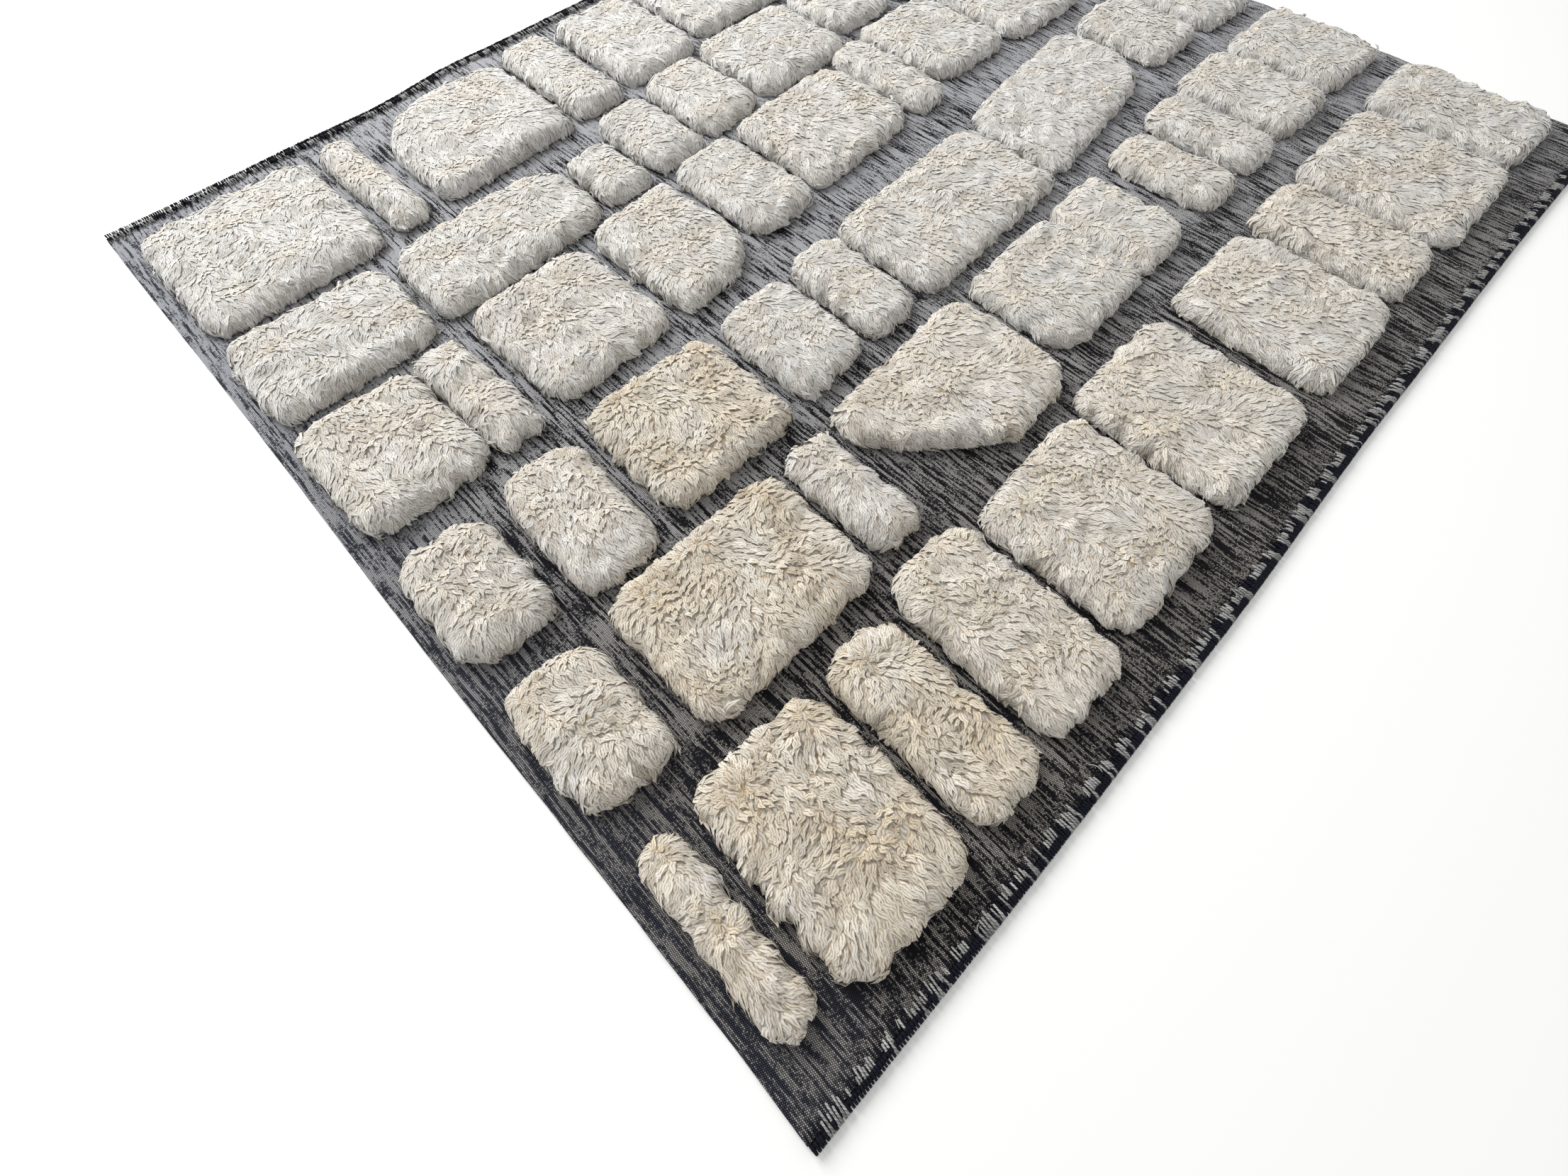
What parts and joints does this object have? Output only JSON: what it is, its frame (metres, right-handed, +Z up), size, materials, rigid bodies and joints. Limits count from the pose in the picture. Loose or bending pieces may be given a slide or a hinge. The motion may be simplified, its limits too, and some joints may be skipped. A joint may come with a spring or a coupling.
{
  "type": "moroccan pile rug",
  "caption": "Flat handwoven wool rug: a marled dark ground with rows of raised ivory high-pile blocks and overcast navy selvedges.",
  "frame": {"origin": "under the middle of the rug's box, on the floor", "axes": "+X along the rug's long side, +Y across it from the near selvedge to the far one, +Z up out of the pile"},
  "size_m": [2.5, 2.07, 0.0466],
  "materials": {
    "ground": "matt marled wool in charcoal and pale grey, weft-faced flat weave",
    "selvedge": "matt overcast wool in blocks of navy and ivory",
    "pile": "soft ivory long-haired wool in locks"
  },
  "bodies": {
    "root": {"ground": "ground", "selvedge_near": "selvedge", "selvedge_far": "selvedge", "pile_1_1": "pile", "pile_1_2": "pile", "pile_1_3": "pile", "pile_1_4": "pile", "pile_1_5": "pile", "pile_1_6": "pile", "pile_1_7": "pile", "pile_1_8": "pile", "pile_1_9": "pile", "pile_1_10": "pile", "pile_2_1": "pile", "pile_2_2": "pile", "pile_2_3": "pile", "pile_2_4": "pile", "pile_2_5": "pile", "pile_2_6": "pile", "pile_2_7": "pile", "pile_2_8": "pile", "pile_2_9": "pile", "pile_3_1": "pile", "pile_3_2": "pile", "pile_3_3": "pile", "pile_3_4": "pile", "pile_3_5": "pile", "pile_3_6": "pile", "pile_3_7": "pile", "pile_3_8": "pile", "pile_3_9": "pile", "pile_4_1": "pile", "pile_4_2": "pile", "pile_4_3": "pile", "pile_4_4": "pile", "pile_4_5": "pile", "pile_4_6": "pile", "pile_4_7": "pile", "pile_4_8": "pile", "pile_4_9": "pile", "pile_4_10": "pile", "pile_5_1": "pile", "pile_5_2": "pile", "pile_5_3": "pile", "pile_5_4": "pile", "pile_5_5": "pile", "pile_5_6": "pile", "pile_5_7": "pile", "pile_5_8": "pile", "pile_5_9": "pile", "pile_6_1": "pile", "pile_6_2": "pile", "pile_6_3": "pile", "pile_6_4": "pile", "pile_6_5": "pile", "pile_6_6": "pile", "pile_6_7": "pile", "pile_6_8": "pile", "pile_6_9": "pile"}
  },
  "joints": []
}
